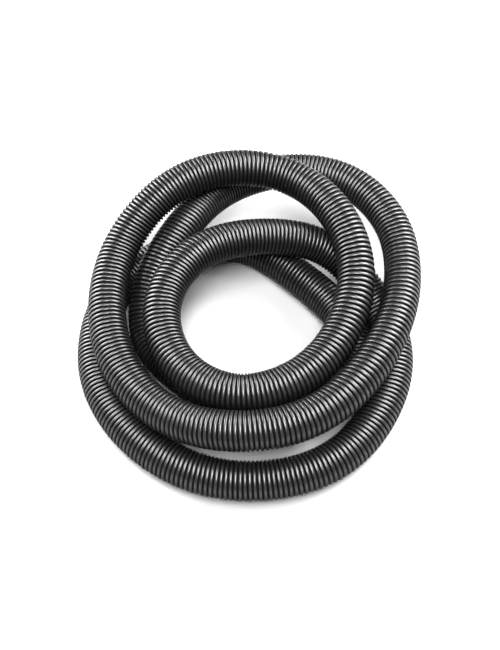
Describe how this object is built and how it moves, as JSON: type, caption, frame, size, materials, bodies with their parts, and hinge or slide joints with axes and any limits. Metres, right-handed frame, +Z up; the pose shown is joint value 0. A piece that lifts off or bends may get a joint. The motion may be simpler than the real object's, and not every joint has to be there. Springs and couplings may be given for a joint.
{
  "type": "vacuum hose",
  "caption": "Coiled ribbed black suction hose of 32 mm bore, with a plain cuff on one end and a swivel cuff on the other.",
  "frame": {"origin": "middle of the bounding box of the coiled hose, on the floor that it lies on", "axes": "+Z up; +Y towards the side where the coil's top turn lies highest; +X to the right as seen from -Y"},
  "size_m": [0.3516, 0.3946, 0.1159],
  "materials": {
    "hose_black": "satin",
    "cuff_black": "matte",
    "bush_grey": "matte",
    "seal_rubber": "matte"
  },
  "bodies": {
    "coil": {"hose": "hose_black", "plain_cuff": "cuff_black", "swivel_bush": "bush_grey", "swivel_seal": "seal_rubber"},
    "swivel": {"swivel_cuff": "cuff_black", "retaining_ring": "bush_grey"}
  },
  "joints": [
    {"name": "swivel_turn", "type": "hinge", "parent": "coil", "child": "swivel", "pos_m": [0.06721, -0.09718, 0.024], "axis": [-0.682, -0.7314, 0], "continuous": true}
  ]
}
